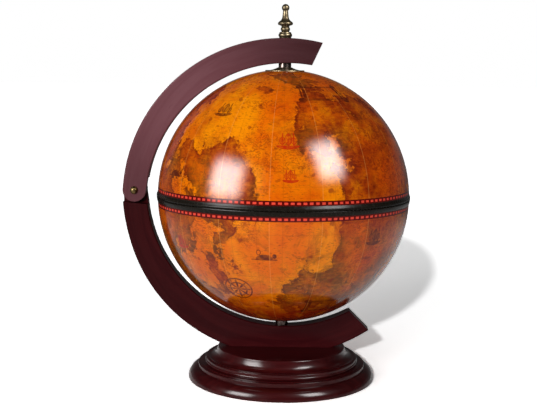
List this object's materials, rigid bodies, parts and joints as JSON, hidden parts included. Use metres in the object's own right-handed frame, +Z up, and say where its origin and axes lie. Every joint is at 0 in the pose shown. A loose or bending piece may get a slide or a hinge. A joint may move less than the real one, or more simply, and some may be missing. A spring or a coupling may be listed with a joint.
{
  "type": "tabletop globe bar",
  "caption": "Tabletop globe bar: a printed globe between two wooden half arms on a turned base, opening at the equator on a side pivot to a bottle and glass rack.",
  "frame": {"origin": "centre of the felt face that rests on the table", "axes": "+Z up through both poles, +X to the open side of the arms, front faces -Y"},
  "size_m": [0.3774, 0.3328, 0.4928],
  "materials": {
    "mahogany": "dark red mahogany under satin-gloss varnish",
    "map_print": "printed antique-style map paper on pulp board under gloss varnish",
    "black_rim": "black satin lacquer",
    "antique_brass": "antique brass, darkened in the recesses",
    "dark_metal": "bronzed steel",
    "steel": "zinc-plated",
    "fibre": "pressed fibre",
    "felt": "dark green felt",
    "tray_wood": "stained wood, satin"
  },
  "bodies": {
    "stand": {"base_plinth": "mahogany", "base_cap": "mahogany", "base_felt": "felt", "arm_screws": "steel", "lower_arm": "mahogany", "pivot_bolt": "antique_brass", "pivot_washer": "antique_brass", "friction_washer": "fibre", "pivot_cap_nut": "antique_brass", "lower_pole_bolt": "steel", "lower_spacer": "dark_metal", "lower_washer": "steel", "lower_lock_nut": "steel"},
    "lower_globe": {"lower_hemisphere": "map_print", "lower_rim": "black_rim", "glass_tray": "tray_wood", "glass_shelf": "tray_wood", "rack_posts": "tray_wood", "pole_block": "tray_wood"},
    "upper_arm": {"upper_arm": "mahogany", "finial": "antique_brass", "upper_pole_rod": "steel", "upper_spacer": "dark_metal", "upper_washer": "steel", "upper_lock_nut": "steel"},
    "upper_globe": {"upper_hemisphere": "map_print", "upper_rim": "black_rim", "upper_flange": "antique_brass", "crown_block": "tray_wood"}
  },
  "joints": [
    {"name": "arm_hinge", "type": "hinge", "parent": "stand", "child": "upper_arm", "pos_m": [-0.1958, 0, 0.2496], "axis": [0, -1, 0], "range_deg": [0, 90]},
    {"name": "lower_globe_spin", "type": "hinge", "parent": "stand", "child": "lower_globe", "pos_m": [0, 0, 0.2435], "axis": [0, 0, 1], "continuous": true},
    {"name": "upper_globe_spin", "type": "hinge", "parent": "upper_arm", "child": "upper_globe", "pos_m": [0, 0, 0.2435], "axis": [0, 0, 1], "continuous": true}
  ]
}
